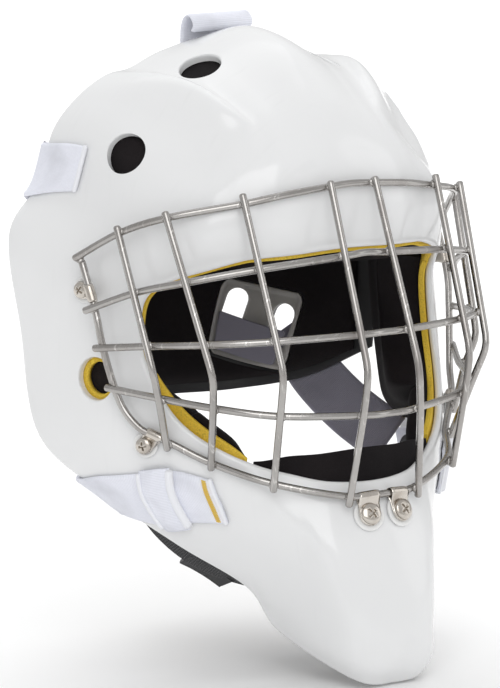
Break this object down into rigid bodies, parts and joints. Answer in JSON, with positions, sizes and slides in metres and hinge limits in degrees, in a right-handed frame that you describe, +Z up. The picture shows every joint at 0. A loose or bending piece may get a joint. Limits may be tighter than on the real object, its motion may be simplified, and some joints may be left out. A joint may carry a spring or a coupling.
{
  "type": "goalie mask",
  "caption": "Ice hockey goalie mask: white moulded shell with a welded wire cage on screwed clips, foam liner, strapped back plate and chin sling.",
  "frame": {"origin": "centre of the wearer's head", "axes": "+Z up as worn, the face looks along -Y, +X is the wearer's left"},
  "size_m": [0.2512, 0.2251, 0.3324],
  "materials": {
    "white_shell": "gloss",
    "cage_steel": "satin",
    "nickel": "polished",
    "zinc": "satin",
    "white_plastic": "satin",
    "yellow_foam": "matt",
    "white_elastic": "woven",
    "grey_elastic": "woven",
    "black_plastic": "satin",
    "grey_plastic": "satin",
    "black_webbing": "woven",
    "black_cloth": "brushed",
    "chin_cup": "matt",
    "black_foam": "matt"
  },
  "bodies": {
    "shell_body": {"shell": "white_shell", "cage_perimeter_wire": "cage_steel", "cage_horizontal_bars": "cage_steel", "cage_vertical_bars": "cage_steel", "chin_clips": "nickel", "lower_side_clips": "nickel", "upper_side_clips": "nickel", "clip_washers": "white_plastic", "clip_screws": "nickel", "clip_nuts": "zinc", "brow_liner": "yellow_foam", "cheek_liner_left": "yellow_foam", "cheek_liner_right": "yellow_foam", "forehead_pad": "black_foam", "sweatband": "black_cloth", "crown_pad": "black_foam", "temple_pad_left": "black_foam", "temple_pad_right": "black_foam", "cheek_pad_left": "black_foam", "cheek_pad_right": "black_foam", "jaw_pad_left": "black_foam", "jaw_pad_right": "black_foam", "chin_pad": "black_foam", "top_strap": "white_elastic", "upper_strap_left": "white_elastic", "upper_strap_right": "white_elastic", "lower_strap_left": "white_elastic", "lower_strap_right": "white_elastic", "strap_keepers": "white_elastic", "chin_studs": "nickel"},
    "backplate_body": {"backplate": "black_plastic", "backplate_pad": "black_foam", "strap_anchors": "grey_plastic", "crown_elastic": "grey_elastic", "upper_rear_strap_left": "grey_elastic", "upper_rear_strap_right": "grey_elastic", "rear_strap_left": "grey_elastic", "rear_strap_right": "grey_elastic"},
    "chin_sling_body": {"chin_strap": "black_webbing", "chin_cup": "chin_cup", "sling_hangers": "black_plastic", "chin_buckle": "black_plastic"}
  },
  "joints": [
    {"name": "backplate_swing", "type": "hinge", "parent": "shell_body", "child": "backplate_body", "pos_m": [0, 0.014, 0.1], "axis": [1, 0, 0], "range_deg": [0, 28], "stiffness_Nm_per_rad": 1.2},
    {"name": "chin_sling_swing", "type": "hinge", "parent": "shell_body", "child": "chin_sling_body", "pos_m": [0, -0.05, -0.107], "axis": [1, 0, 0], "range_deg": [-14, 40]}
  ]
}
